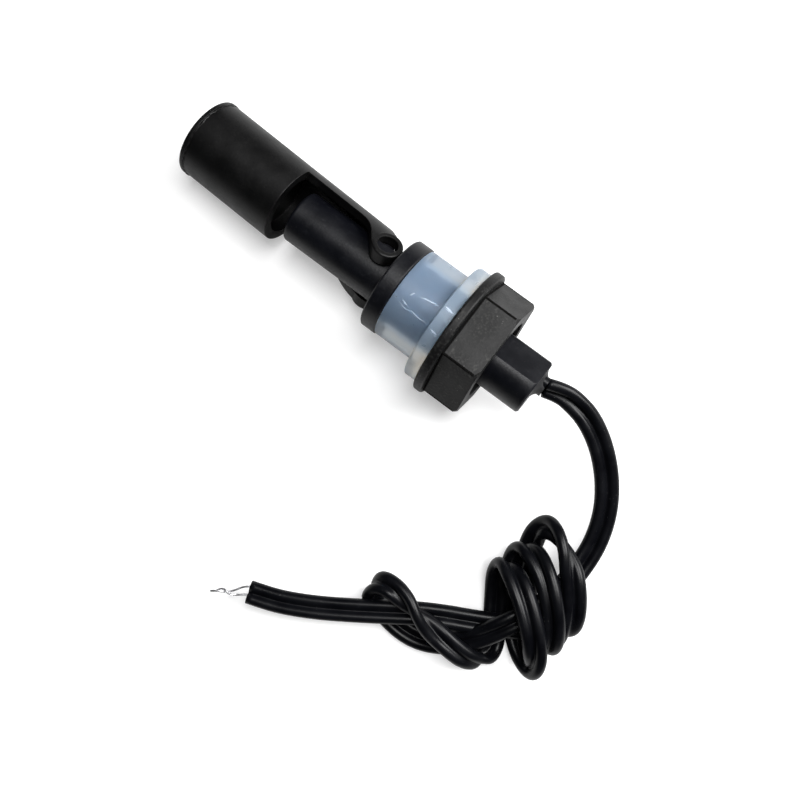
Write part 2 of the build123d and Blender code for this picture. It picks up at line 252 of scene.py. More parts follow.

# %% [markdown]
# ## Shared surface effects
#
# Moulded plastic looks real because of small things: a fine grain from the steel mould, corners
# that are never quite sharp, a few scuffs, and dust. The edges are also lightened in colour, partly
# as wear and partly as a painted highlight. Each effect is one node group, built once and placed in
# every finish that needs it with its own numbers.

# %% Node group helpers
def new_group(name, inputs, outputs):
    """A shader node group with named sockets; returns the tree and its two end nodes."""
    group = bpy.data.node_groups.new(name, "ShaderNodeTree")
    for label, kind, value in inputs:
        socket = group.interface.new_socket(label, in_out="INPUT", socket_type=kind)
        socket.default_value = value
    for label, kind in outputs:
        group.interface.new_socket(label, in_out="OUTPUT", socket_type=kind)
    return group, group.nodes.new("NodeGroupInput"), group.nodes.new("NodeGroupOutput")


def add_noise(tree, vector, scale, detail=3.0):
    """Noise at a scale in ripples per metre; returns its value."""
    node = add_node(tree, "ShaderNodeTexNoise")
    tree.links.new(vector, node.inputs["Vector"])
    node.inputs["Detail"].default_value = detail
    if hasattr(scale, "links"):
        tree.links.new(scale, node.inputs["Scale"])
    else:
        node.inputs["Scale"].default_value = scale
    return node.outputs["Fac"]


# %% Mould grain and scuffs
grain_group, start, end = new_group(
    "mould_grain",
    [("Scale", "NodeSocketFloat", 1900.0)],
    [("Height", "NodeSocketFloat"), ("Patches", "NodeSocketFloat")])
place = add_node(grain_group, "ShaderNodeTexCoord").outputs["Object"]
fine = add_noise(grain_group, place, start.outputs["Scale"], 4.0)
broad = add_noise(grain_group, place, 220.0, 3.0)
grain_group.links.new(fine, end.inputs["Height"])
grain_group.links.new(add_range(grain_group, broad, 0.35, 0.65), end.inputs["Patches"])

scuff_group, start, end = new_group(
    "scuffs",
    [("Amount", "NodeSocketFloat", 0.5), ("Scale", "NodeSocketFloat", 900.0)],
    [("Mask", "NodeSocketFloat")])
place = add_node(scuff_group, "ShaderNodeTexCoord").outputs["Object"]
patches = add_noise(scuff_group, place, 260.0, 5.0)
ticks = add_noise(scuff_group, place, start.outputs["Scale"], 6.0)
patch_mask = add_range(scuff_group, patches, 0.48, 0.66)
tick_mask = add_range(scuff_group, ticks, 0.56, 0.70)
mixed = add_math(scuff_group, "MULTIPLY", patch_mask, tick_mask)
scuffed = add_math(scuff_group, "MULTIPLY", mixed, start.outputs["Amount"])
scuff_group.links.new(scuffed, end.inputs["Mask"])
print("scuffs and grain ready")

# %% Edges: worn, rounded and lightened by a painted highlight
edge_wear_and_highlight_group, start, end = new_group(
    "worn_and_highlit_edges",
    [("Width", "NodeSocketFloat", 0.0003)],
    [("Mask", "NodeSocketFloat"), ("Normal", "NodeSocketVector")])
rounded = add_node(edge_wear_and_highlight_group, "ShaderNodeBevel", samples=6)
edge_wear_and_highlight_group.links.new(start.outputs["Width"], rounded.inputs["Radius"])
flat = add_node(edge_wear_and_highlight_group, "ShaderNodeNewGeometry")
agree = add_node(edge_wear_and_highlight_group, "ShaderNodeVectorMath", operation="DOT_PRODUCT")
edge_wear_and_highlight_group.links.new(rounded.outputs["Normal"], agree.inputs[0])
edge_wear_and_highlight_group.links.new(flat.outputs["Normal"], agree.inputs[1])
turned_away = add_math(edge_wear_and_highlight_group, "SUBTRACT", 1.0, agree.outputs["Value"])
place = add_node(edge_wear_and_highlight_group, "ShaderNodeTexCoord").outputs["Object"]
broken = add_range(edge_wear_and_highlight_group, add_noise(edge_wear_and_highlight_group, place, 1400.0, 3.0), 0.35, 0.65, 0.3, 1.0)
# The finishes use this mask to lighten the colour along edges, partly as wear and partly as a painted
# highlight.
worn_and_highlit = add_math(edge_wear_and_highlight_group, "MULTIPLY", add_range(edge_wear_and_highlight_group, turned_away, 0.0, 0.14), broken)
edge_wear_and_highlight_group.links.new(worn_and_highlit, end.inputs["Mask"])
edge_wear_and_highlight_group.links.new(rounded.outputs["Normal"], end.inputs["Normal"])
print("edge effect ready, rounding by", round(start.outputs["Width"].default_value, 5), "m")

# %% Dust specks
dust_group, start, end = new_group(
    "dust_specks",
    [("Amount", "NodeSocketFloat", 0.5)],
    [("Mask", "NodeSocketFloat")])
place = add_node(dust_group, "ShaderNodeTexCoord").outputs["Object"]
cells = add_node(dust_group, "ShaderNodeTexVoronoi", feature="F1")
cells.inputs["Scale"].default_value = 1500.0
dust_group.links.new(place, cells.inputs["Vector"])
dots = add_range(dust_group, cells.outputs["Distance"], 0.08, 0.16, 1.0, 0.0)
where = add_range(dust_group, add_noise(dust_group, place, 420.0, 3.0), 0.56, 0.66)
specks = add_math(dust_group, "MULTIPLY", dots, where)
dusted = add_math(dust_group, "MULTIPLY", specks, start.outputs["Amount"])
dust_group.links.new(dusted, end.inputs["Mask"])
print("effects:", [group.name for group in bpy.data.node_groups])

# %% [markdown]
# ## Moulded black plastic
#
# The body, the float and the nut are black polypropylene. One function makes all three, because the
# recipe is the same: a near-black colour, lighter where a scuff has turned it grey and along the
# edges, where the lightening is partly wear and partly a painted highlight, and a dull gloss broken
# by the mould's grain. The numbers differ: the float is the least scuffed and the nut is the most
# handled.

# %% Helpers for finishes
def place_group(tree, group, **values):
    """A node group in a material, with its inputs set."""
    node = add_node(tree, "ShaderNodeGroup", node_tree=group)
    for label, value in values.items():
        node.inputs[label].default_value = value
    return node


def add_mix(tree, factor, first, second):
    """Mixes two colours, each a socket or an RGB triple; returns the colour."""
    node = add_node(tree, "ShaderNodeMix", data_type="RGBA")
    tree.links.new(factor, node.inputs["Factor"])
    for socket, value in zip((node.inputs[6], node.inputs[7]), (first, second)):
        if hasattr(value, "links"):
            tree.links.new(value, socket)
        else:
            socket.default_value = (*value, 1)
    return node.outputs[2]


def new_surface(name):
    """A material with one plain surface; returns it with its tree and surface node."""
    material, tree, output = new_material(name)
    surface = add_node(tree, "ShaderNodeBsdfPrincipled")
    tree.links.new(surface.outputs[0], output.inputs["Surface"])
    return material, tree, surface


def add_bump(tree, surface, height, strength, distance, normal=None):
    """Lets a height texture bend a surface's normal, starting from another normal if one is given."""
    node = add_node(tree, "ShaderNodeBump")
    node.inputs["Strength"].default_value = strength
    node.inputs["Distance"].default_value = distance
    tree.links.new(height, node.inputs["Height"])
    if normal is not None:
        tree.links.new(normal, node.inputs["Normal"])
    tree.links.new(node.outputs["Normal"], surface.inputs["Normal"])


def finish_node(name, material):
    """Gives a solid part its finish in place of the plain one it came with."""
    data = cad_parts[name].data
    data.materials.clear()
    data.materials.append(material)


# %% Black plastic finish
grain_height = 0.04 * MM
dust_tone = (0.42, 0.42, 0.40)


def moulded_plastic(name, tone, light_tone, roughness, gloss, grain, scuffing, edge_width, edge_wear_and_highlight,
                    speckle, dust):
    """Black moulded plastic with grain, scuffs, dust specks, and edges lightened by wear and a painted
    highlight.
    """
    material, tree, surface = new_surface(name)
    texture = place_group(tree, grain_group)
    scuffs = place_group(tree, scuff_group, Amount=scuffing)
    edges = place_group(tree, edge_wear_and_highlight_group, Width=edge_width)
    specks = place_group(tree, dust_group, Amount=dust)
    base = add_mix(tree, texture.outputs["Patches"], tone, tuple(value * 1.25 for value in tone))
    # Painted highlight and wear: the edge mask lightens the colour along every edge.
    rubbed_and_highlit = add_math(tree, "MULTIPLY", edges.outputs["Mask"], edge_wear_and_highlight)
    wear_and_highlight = add_math(tree, "MAXIMUM", scuffs.outputs["Mask"], rubbed_and_highlit)
    peaks = add_range(tree, texture.outputs["Height"], 0.50, 0.66)
    rubbing = add_math(tree, "MULTIPLY", peaks, texture.outputs["Patches"])
    wear_and_highlight = add_math(tree, "MAXIMUM", wear_and_highlight, add_math(tree, "MULTIPLY", rubbing, speckle))
    worn_and_highlit = add_mix(tree, wear_and_highlight, base, light_tone)
    dusty = add_mix(tree, specks.outputs["Mask"], worn_and_highlit, dust_tone)
    tree.links.new(dusty, surface.inputs["Base Color"])
    rough = add_range(tree, texture.outputs["Patches"], 0.0, 1.0, roughness - 0.04, roughness + 0.05)
    rough = add_math(tree, "ADD", rough, add_math(tree, "MULTIPLY", wear_and_highlight, 0.2))
    tree.links.new(rough, surface.inputs["Roughness"])
    surface.inputs["Specular IOR Level"].default_value = gloss
    add_bump(tree, surface, texture.outputs["Height"], grain, grain_height, edges.outputs["Normal"])
    return material


body_black = moulded_plastic(
    "body_black", tone=(0.0012, 0.0014, 0.0026), light_tone=(0.028, 0.030, 0.034), roughness=0.40,
    gloss=0.26, grain=0.5, scuffing=0.25, edge_width=0.25 * MM, edge_wear_and_highlight=0.30, speckle=0.06, dust=0.05)
float_black = moulded_plastic(
    "float_black", tone=(0.0009, 0.0009, 0.0010), light_tone=(0.020, 0.019, 0.018), roughness=0.43,
    gloss=0.24, grain=0.45, scuffing=0.12, edge_width=0.25 * MM, edge_wear_and_highlight=0.30, speckle=0.08, dust=0.03)
nut_black = moulded_plastic(
    "nut_black", tone=(0.0010, 0.0010, 0.0011), light_tone=(0.070, 0.070, 0.066), roughness=0.50,
    gloss=0.22, grain=0.8, scuffing=0.75, edge_width=0.22 * MM, edge_wear_and_highlight=0.06, speckle=0.26, dust=0.35)
finish_node("switch_body", body_black)
finish_node("float_shell", float_black)
finish_node("float_cap", float_black)
finish_node("clamp_nut", nut_black)
print("black parts finished")

# %% [markdown]
# ## Milky silicone
#
# The sleeve is clear silicone gone milky: the dark shank shows through its middle as a grey-blue
# shadow, and at both sides, where the eye looks along the rubber, it turns pale and warm. The milk
# on the surface gives the blue, most of the light passes, and the rubber soaks up a little blue on
# the way, so long ways through it look warmer. The flange is thicker and so looks milkier.

# %% Silicone finish
silicone, tree, output = new_material("milky_silicone")
surface = add_node(tree, "ShaderNodeBsdfPrincipled")
tree.links.new(surface.outputs[0], output.inputs["Surface"])
surface.inputs["Transmission Weight"].default_value = 0.82
surface.inputs["IOR"].default_value = 1.12
surface.inputs["Coat Weight"].default_value = 0.25
surface.inputs["Coat Roughness"].default_value = 0.3
warm = add_node(tree, "ShaderNodeVolumeAbsorption")
warm.inputs["Color"].default_value = (1.0, 0.68, 0.28, 1)
warm.inputs["Density"].default_value = 62.0
tree.links.new(warm.outputs[0], output.inputs["Volume"])
place = add_node(tree, "ShaderNodeTexCoord").outputs["Object"]
cloud = add_range(tree, add_noise(tree, place, 300.0, 1.0), 0.2, 0.8)
milk = add_mix(tree, cloud, (0.38, 0.53, 0.74), (0.45, 0.59, 0.79))
along = add_node(tree, "ShaderNodeVectorMath", operation="DOT_PRODUCT")
tree.links.new(place, along.inputs[0])
along.inputs[1].default_value = lie @ Vector((1.0, 0.0, 0.0))
in_flange = add_range(tree, along.outputs["Value"], -0.0003, 0.0001, 1.0, 0.0)
tree.links.new(add_mix(tree, in_flange, milk, (0.58, 0.76, 0.98)), surface.inputs["Base Color"])
tree.links.new(add_range(tree, cloud, 0.0, 1.0, 0.26, 0.36), surface.inputs["Roughness"])
add_bump(tree, surface, add_noise(tree, place, 180.0, 0.0), 0.15, 0.1 * MM)
finish_node("sealing_sleeve", silicone)
print("milky rubber finished")

# %% [markdown]
# ## Painted highlights on the folds in the rubber
#
# A few folds in the sleeve scatter the light and show as short pale streaks, and these are painted
# highlights: a noise texture could draw streaks like them, but not in chosen places, so each is a
# narrow pale ribbon laid on the rubber. Its row below holds the radius that it lies on, half its
# width, and its places as a distance along the axis and an angle round it.

# %% Painted fold highlights on the sleeve
sleeve_radius, sleeve_flange_radius, ribbon_lift = 10.55, 13.6, 0.02
folds = [
    (sleeve_radius, 0.19, [(5.24, 53.4), (4.31, 55.8), (3.43, 56.7), (2.54, 57.5), (1.62, 58.2),
                           (0.45, 58.8)]),
    (sleeve_radius, 0.17, [(5.66, 35.7), (4.79, 36.8), (4.19, 36.1), (3.42, 35.0), (2.52, 34.9),
                           (1.57, 35.4), (0.65, 35.1)]),
    (sleeve_radius, 0.22, [(7.86, 41.9), (7.26, 40.2), (6.63, 39.3), (6.15, 38.5)]),
    (sleeve_radius, 0.28, [(7.05, 49.1), (6.80, 51.8), (6.37, 55.2)]),
    (sleeve_radius, 0.13, [(9.36, 38.8), (9.02, 40.1), (9.00, 42.9)]),
    (sleeve_radius, 0.12, [(8.33, 36.7), (7.19, 35.8), (6.23, 34.2), (5.29, 35.8)]),
    (sleeve_flange_radius, 0.34, [(-0.50, 59.4), (-1.26, 59.0), (-2.12, 58.3), (-2.80, 57.7)]),
    (sleeve_flange_radius, 0.30, [(-0.73, 36.5), (-1.65, 36.2), (-2.70, 35.4)]),
]
ribbon_steps = 6


def around_axis(x, angle, radius):
    """A place round the switch's axis, in metres."""
    turn = math.radians(angle)
    return on_switch(x, radius * math.cos(turn), radius * math.sin(turn))


shape = bmesh.new()
for radius, half_width, rows in folds:
    count = (len(rows) - 1) * ribbon_steps
    sides = []
    for step in range(count + 1):
        index = min(step // ribbon_steps, len(rows) - 2)
        share = step / ribbon_steps - index
        (x_first, turn_first), (x_last, turn_last) = rows[index], rows[index + 1]
        x = x_first + share * (x_last - x_first)
        turn = turn_first + share * (turn_last - turn_first)
        taper = math.sin(math.pi * (step + 0.3) / (count + 0.6))
        ripple = 0.75 + 0.25 * math.sin(2.3 * step)
        swing = math.degrees(half_width * taper * ripple / radius)
        across = [around_axis(x, turn + part * swing, radius + ribbon_lift) for part in (-1, 0, 1)]
        sides.append([shape.verts.new(place) for place in across])
    for first, second in zip(sides, sides[1:]):
        for corner in range(2):
            shape.faces.new((first[corner], first[corner + 1], second[corner + 1], second[corner]))
bmesh.ops.recalc_face_normals(shape, faces=shape.faces)
fold_highlight_ribbons = new_mesh_piece("fold_highlight_ribbons", shape)
# Painted highlight: the pale ribbons stand for light caught where the rubber folds.
painted_fold_highlight, tree, surface = new_surface("painted_fold_highlight")
place = add_node(tree, "ShaderNodeTexCoord").outputs["Object"]
highlight_tone = add_mix(tree, add_noise(tree, place, 1500.0, 2.0), (0.19, 0.25, 0.34), (0.36, 0.43, 0.52))
tree.links.new(highlight_tone, surface.inputs["Base Color"])
dull = add_range(tree, add_noise(tree, place, 900.0, 2.0), 0.3, 0.7, 0.4, 0.6)
tree.links.new(dull, surface.inputs["Roughness"])
fold_highlight_ribbons.data.materials.append(painted_fold_highlight)
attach(fold_highlight_ribbons, "sleeve")
print("folds laid on the sleeve:", len(folds))

# %% [markdown]
# ## Shadow lines of the nut
#
# Thin lines of painted shade frame every flat of the nut, along its corners and along the foot of
# the hexagon. They are dark strips of mesh a few tenths of a millimetre wide, laid on the flats. A
# strip stays thin and straight at any size of picture, and it is easier to place than a texture
# that follows the corners.

# %% Painted shadow strips along the corners and the foot
nut_across_flats = 24.6
corner_radius = nut_across_flats / math.sqrt(3)
first_corner, hex_foot, hex_rear = -93.0, -5.4, -13.2
strip_width, foot_width, strip_lift = 0.34, 0.45, 0.015


def add_strip(shape, x_start, x_end, first_edge, second_edge):
    """A four-cornered strip between two places round the axis, over a stretch along it."""
    corners = [(x_start, first_edge), (x_start, second_edge), (x_end, second_edge), (x_end, first_edge)]
    shape.faces.new([shape.verts.new(on_switch(x, edge.y, edge.z)) for x, edge in corners])


shape = bmesh.new()
for flat in range(6):
    angles = [math.radians(first_corner + 60 * (flat + turn)) for turn in (0, 1)]
    first, last = (corner_radius * Vector((0, math.cos(angle), math.sin(angle))) for angle in angles)
    run = (last - first).normalized()
    lift = (first + last).normalized() * strip_lift
    inner_first = first + lift + run * strip_width
    inner_last = last + lift - run * strip_width
    add_strip(shape, hex_foot, hex_rear, first + lift, inner_first)
    add_strip(shape, hex_foot, hex_rear, last + lift, inner_last)
    add_strip(shape, hex_foot, hex_foot - foot_width, inner_first, inner_last)
nut_shadow_lines = new_mesh_piece("nut_shadow_lines", shape)
painted_shadow_black, tree, surface = new_surface("painted_shadow_black")
place = add_node(tree, "ShaderNodeTexCoord").outputs["Object"]
blotches = add_noise(tree, place, 1200.0, 3.0)
# Painted shade: near-black strips where the nut's corners and foot fall into shadow.
deep = add_mix(tree, blotches, (0.0004, 0.0004, 0.0004), (0.0030, 0.0030, 0.0028))
tree.links.new(deep, surface.inputs["Base Color"])
dull = add_range(tree, add_noise(tree, place, 900.0, 2.0), 0.3, 0.7, 0.75, 0.95)
tree.links.new(dull, surface.inputs["Roughness"])
surface.inputs["Specular IOR Level"].default_value = 0.06
nut_shadow_lines.data.materials.append(painted_shadow_black)
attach(nut_shadow_lines, "nut")
print("dark strips on the nut:", len(nut_shadow_lines.data.polygons))

# %% [markdown]
# ## What sits inside
#
# The reed contact, its wires, the magnet and the resin are out of sight in a whole switch, but the
# part is also opened up and shown, so each gets a true finish: glass, plated metal, solder, coloured
# insulation, sintered magnet and poured resin.

# %% Finishes of the inner parts
def simple_finish(name, tone, roughness, metallic=0.0, patch_scale=600.0, spread=0.25,
                  bump_height=0.02 * MM):
    """A finish whose colour and gloss vary a little over the surface."""
    material, tree, surface = new_surface(name)
    place = add_node(tree, "ShaderNodeTexCoord").outputs["Object"]
    patches = add_range(tree, add_noise(tree, place, patch_scale, 4.0), 0.3, 0.7)
    darker = tuple(value * (1 - spread) for value in tone)
    tree.links.new(add_mix(tree, patches, darker, tone), surface.inputs["Base Color"])
    dull = add_range(tree, patches, 0.0, 1.0, roughness, roughness + 0.1)
    tree.links.new(dull, surface.inputs["Roughness"])
    surface.inputs["Metallic"].default_value = metallic
    add_bump(tree, surface, patches, 0.4, bump_height)
    return material


resin = simple_finish("grey_resin", (0.012, 0.012, 0.013), 0.55, bump_height=0.08 * MM)
magnet_black = simple_finish("sintered_magnet", (0.05, 0.05, 0.055), 0.5, 0.3, 1800.0)
reed_metal = simple_finish("plated_reed", (0.72, 0.70, 0.66), 0.25, 1.0)
solder = simple_finish("solder", (0.62, 0.62, 0.64), 0.35, 1.0, 1500.0)
wire_red = simple_finish("wire_insulation", (0.32, 0.03, 0.02), 0.4)
shrink_black = simple_finish("shrink_tube", (0.02, 0.02, 0.022), 0.45, bump_height=0.05 * MM)
tinned = simple_finish("tinned_copper", (0.74, 0.74, 0.76), 0.28, 1.0, 2500.0)

glass, tree, surface = new_surface("reed_glass")
surface.inputs["Transmission Weight"].default_value = 1.0
surface.inputs["IOR"].default_value = 1.5
place = add_node(tree, "ShaderNodeTexCoord").outputs["Object"]
ripple = add_noise(tree, place, 700.0, 2.0)
green_tint = add_mix(tree, ripple, (0.70, 0.86, 0.74), (0.82, 0.93, 0.84))
tree.links.new(green_tint, surface.inputs["Base Color"])
tree.links.new(add_range(tree, ripple, 0.3, 0.7, 0.02, 0.06), surface.inputs["Roughness"])

inner_finishes = {
    "potting_resin": resin, "float_magnet": magnet_black,
    "reed_glass": glass, "shrink_sleeve": shrink_black,
    "reed_blade_front": reed_metal, "reed_blade_rear": reed_metal,
    "solder_joint_front": solder, "solder_joint_rear": solder,
    "inner_wire_long": wire_red, "inner_wire_short": wire_red,
}
for name, material in inner_finishes.items():
    finish_node(name, material)
print("inner parts finished:", len(inner_finishes))

# %% [markdown]
# ## The twin cord
#
# The cord is two thin insulated wires moulded side by side, so its section is a figure of eight. It
# runs out of the tail in a wide arc, threads through its own coil, makes a small loop, is wound up
# in three turns and comes back out to its bare end.
#
# The line is a smooth spline through a short list of given places. Each place also has the
# heading and tilt of the cord's flat side, because a twin cord twists as it is wound. The three
# turns are worked out by a loop from the top, bottom and crown of each turn.

# %% The cord's places: x, y, z in metres, heading and tilt of its width in degrees
lead_rows = [
    (cord_exit.x, cord_exit.y, cord_exit.z, 97, -53),
    (-0.0286, -0.0025, 0.0010, 99, -47),
    (-0.0320, -0.0027, 0.0003, 97, -27),
    (-0.0369, -0.0019, -0.0012, 78, -9),
    (-0.0425, 0.0009, -0.0032, 63, 0),
    (-0.0477, 0.0053, -0.0052, 43, 0),
    (-0.0518, 0.0106, -0.0070, 35, 0),
    (-0.0544, 0.0166, -0.0085, 15, 0),
    (-0.0554, 0.0225, -0.0094, 7, 0),
]
loop_rows = [
    (-0.0552, 0.0293, -0.0094, -9, 0),
    (-0.0542, 0.0346, -0.0082, -23, 0),
    (-0.0522, 0.0386, -0.0066, -31, 6),
    (-0.0503, 0.0425, -0.0062, -30, 14),
    (-0.0486, 0.0459, -0.0068, -32, 15),
    (-0.0470, 0.0493, -0.0084, -36, 6),
    (-0.0447, 0.0528, -0.0104, -46, 0),
    (-0.0417, 0.0561, -0.0122, -59, 0),
    (-0.0374, 0.0585, -0.0131, -72, 0),
    (-0.0329, 0.0592, -0.0133, -83, 0),
    (-0.0280, 0.0586, -0.0133, -87, 0),
    (-0.0243, 0.0577, -0.0128, -90, 0),
    (-0.0222, 0.0561, -0.0106, -90, 0),
    (-0.0223, 0.0529, -0.0072, -90, 0),
    (-0.0253, 0.0520, -0.0055, -94, 0),
    (-0.0292, 0.0525, -0.0054, -93, 35),
    (-0.0329, 0.0535, -0.0058, 0, 90),
    (-0.0365, 0.0540, -0.0064, 79, 36),
    (-0.0401, 0.0545, -0.0070, 78, 0),
    (-0.0438, 0.0549, -0.0076, 68, 0),
    (-0.0475, 0.0551, -0.0090, 60, 0),
    (-0.0505, 0.0543, -0.0116, 60, 0),
    (-0.0512, 0.0515, -0.0131, 56, 0),
    (-0.0503, 0.0484, -0.0134, 46, 0),
]
free_rows = [
    (-0.0550, 0.0419, -0.0104, -53, 0),
    (-0.0513, 0.0435, -0.0096, -56, 0),
    (-0.0472, 0.0460, -0.0092, -58, 0),
    (-0.0427, 0.0484, -0.0089, -61, 0),
    (-0.0380, 0.0508, -0.0088, -61, 0),
    (-0.0331, 0.0537, -0.0088, -56, 0),
    (-0.0279, 0.0574, -0.0089, -54, 0),
    (-0.0216, 0.0618, -0.0090, -57, 0),
    (-0.0154, 0.0659, -0.0091, -60, 0),
    (-0.0094, 0.0693, -0.0093, -64, 0),
    (-0.0051, 0.0712, -0.0095, -69, 0),
    (-0.0010, 0.0726, -0.0096, -72, 0),
]
print("places chosen by eye:", len(lead_rows), "+", len(loop_rows), "+", len(free_rows))

# %% The three turns: top, bottom and crown of each
turn_places = [
    ((-0.0419, 0.0336, -0.0070), (-0.0594, 0.0481, -0.0080), (-0.0522, 0.0393, -0.0016)),
    ((-0.0429, 0.0282, -0.0066), (-0.0593, 0.0433, -0.0080), (-0.0532, 0.0333, -0.0014)),
    ((-0.0436, 0.0219, -0.0056), (-0.0605, 0.0387, -0.0082), (-0.0547, 0.0275, -0.0020)),
]
turn_twists = [
    (-90, 37, 0), (0, 13, 0), (90, 42, 0), (180, -48, 0), (225, -86, 0), (270, -143, 0),
    (360, -149, 0), (450, -143, 35), (540, -133, 14), (630, -143, 0), (675, 169, 0),
    (720, 105, 0), (765, 139, -65), (810, -143, 0), (900, -98, 0), (960, -71, 0),
]
first_angle = -60
last_angle = 930
angle_step = 30
spline_slack = 1.035
rest_height = 1.35 * MM


def width_direction(heading, tilt):
    """The unit vector of the cord's flat side."""
    heading, tilt = math.radians(heading), math.radians(tilt)
    level = math.cos(tilt)
    return Vector((level * math.cos(heading), level * math.sin(heading), math.sin(tilt)))


def twist_at(angle):
    """The width direction at one angle of the winding, between the two nearest entries."""
    for (before, *first), (after, *second) in zip(turn_twists, turn_twists[1:]):
        if before <= angle <= after:
            share = (angle - before) / (after - before)
            return width_direction(*first).lerp(width_direction(*second), share).normalized()


def turn_at(angle, corner):
    """The top, bottom or crown that the winding is at, easing to the next turn underneath."""
    whole, share = divmod((angle + 90) / 360, 1)
    if share < 0.25:
        place = whole - 0.5 + 2 * share
    elif share > 0.75:
        place = whole + 2 * (share - 0.75)
    else:
        place = whole
    index = max(0, min(int(math.floor(place)), len(turn_places) - 2))
    ease = place - index
    if 0 < ease < 1:
        ease = ease * ease * (3 - 2 * ease)
    return Vector(turn_places[index][corner]).lerp(Vector(turn_places[index + 1][corner]), ease)


cord_stations = [(Vector(row[:3]), width_direction(*row[3:])) for row in lead_rows + loop_rows]
for angle in range(first_angle, last_angle + 1, angle_step):
    top, bottom, crown = (turn_at(angle, corner) for corner in range(3))
    middle = (top + bottom) / 2
    swing = math.radians(angle)
    offset = (top - bottom) / 2 * math.cos(swing) + (crown - middle) * math.sin(swing)
    place = middle + spline_slack * offset
    place.z = max(place.z, table_height + rest_height)
    cord_stations.append((place, twist_at(angle)))
cord_stations += [(Vector(row[:3]), width_direction(*row[3:])) for row in free_rows]
print("cord drawn through", len(cord_stations), "places")

# %% [markdown]
# A NURBS curve with no bevel gives back the points of a smooth line. Two such curves, one for the
# middle and one shifted sideways along the flat side, are read at the same steps, so the second
# always tells which way the cord's width points.

# %% Smooth lines read from splines
def smooth_line(places, steps):
    """The points of a NURBS spline through a list of control places."""
    data = bpy.data.curves.new("guide", "CURVE")
    data.dimensions = "3D"
    spline = data.splines.new("NURBS")
    spline.points.add(len(places) - 1)
    for point, place in zip(spline.points, places):
        point.co = (*place, 1)
    spline.order_u = 3
    spline.use_endpoint_u = True
    spline.resolution_u = steps
    guide = bpy.data.objects.new("guide", data)
    bpy.context.scene.collection.objects.link(guide)
    depsgraph = bpy.context.evaluated_depsgraph_get()
    mesh = bpy.data.meshes.new_from_object(guide.evaluated_get(depsgraph))
    points = [vertex.co.copy() for vertex in mesh.vertices]
    bpy.data.meshes.remove(mesh)
    bpy.data.objects.remove(guide)
    bpy.data.curves.remove(data)
    return points


core_radius = 1.3 * MM
core_pitch = 2.7 * MM
cord_steps = 7
cord_middle = smooth_line([place for place, width in cord_stations], cord_steps)
cord_side = smooth_line([place + width * core_pitch / 2 for place, width in cord_stations], cord_steps)

# %% [markdown]
# The skin is swept along that line: at every point the figure of eight is laid out across the width
# and the height of the cord, and neighbouring rings are joined with quads. Each end is closed with
# a face, because the cord is cut square there.

# %% Figure-of-eight section swept along the line
def ring_frames(line, side_line):
    """Tangent, width and height directions at every point of a line."""
    frames = []
    for index, place in enumerate(line):
        ahead = line[min(index + 1, len(line) - 1)]
        behind = line[max(index - 1, 0)]
        tangent = (ahead - behind).normalized()
        width = side_line[index] - place
        width = (width - tangent * width.dot(tangent)).normalized()
        frames.append((place, width, tangent.cross(width)))
    return frames


def twin_section(radius, pitch, points_per_core=15, groove_angle=158):
    """The outline of two round cores joined by a thin web, as width and height offsets."""
    outline = []
    for side in (1, -1):
        for step in range(points_per_core):
            share = step / (points_per_core - 1)
            angle = math.radians(-groove_angle + 2 * groove_angle * share)
            across = side * (pitch / 2 + radius * math.cos(angle))
            outline.append((across, side * radius * math.sin(angle)))
    return outline


def sweep_outlines(name, frames, outlines):
    """A mesh tube: one outline at each frame, joined with smooth quads and closed at the ends."""
    shape = bmesh.new()
    rings = []
    for (place, width, height), outline in zip(frames, outlines):
        rings.append([shape.verts.new(place + width * across + height * up) for across, up in outline])
    count = len(rings[0])
    for first, second in zip(rings, rings[1:]):
        for index in range(count):
            after = (index + 1) % count
            shape.faces.new((first[index], first[after], second[after], second[index])).smooth = True
    shape.faces.new(list(reversed(rings[0])))
    shape.faces.new(rings[-1])
    bmesh.ops.recalc_face_normals(shape, faces=shape.faces)
    return new_mesh_piece(name, shape)


cord_frames = ring_frames(cord_middle, cord_side)
cord_outline = twin_section(core_radius, core_pitch)
twin_cord = sweep_outlines("twin_cord", cord_frames, [cord_outline] * len(cord_frames))
print("cord mesh:", len(twin_cord.data.polygons), "faces")

# %% [markdown]
# ## Cord finish
#
# Soft black insulation is a little smoother than the moulded parts, but it mirrors less, so each
# core shows one narrow dim line of light. It gets its own numbers for the same grain and dust, and
# a few specks break the line up.

# %% Cord material
cord_black, tree, surface = new_surface("cord_black")
texture = place_group(tree, grain_group, Scale=3500.0)
specks = place_group(tree, dust_group, Amount=0.15)
base = add_mix(tree, texture.outputs["Patches"], (0.0012, 0.0013, 0.0020), (0.0026, 0.0028, 0.0038))
dusty = add_mix(tree, specks.outputs["Mask"], base, (0.35, 0.35, 0.34))
tree.links.new(dusty, surface.inputs["Base Color"])
dull = add_range(tree, texture.outputs["Patches"], 0.0, 1.0, 0.28, 0.36)
tree.links.new(dull, surface.inputs["Roughness"])
surface.inputs["Specular IOR Level"].default_value = 0.15
add_bump(tree, surface, texture.outputs["Height"], 0.25, 0.03 * MM)
twin_cord.data.materials.append(cord_black)
finish_node("cord_root", cord_black)
print("cord finished")

# %% [markdown]
# ## Bare ends
#
# At its free end each core is stripped and its tinned strands are twisted to a thin crooked wire.
# Both are swept with a small round section, pinched and turned as it goes, so the twist shows.

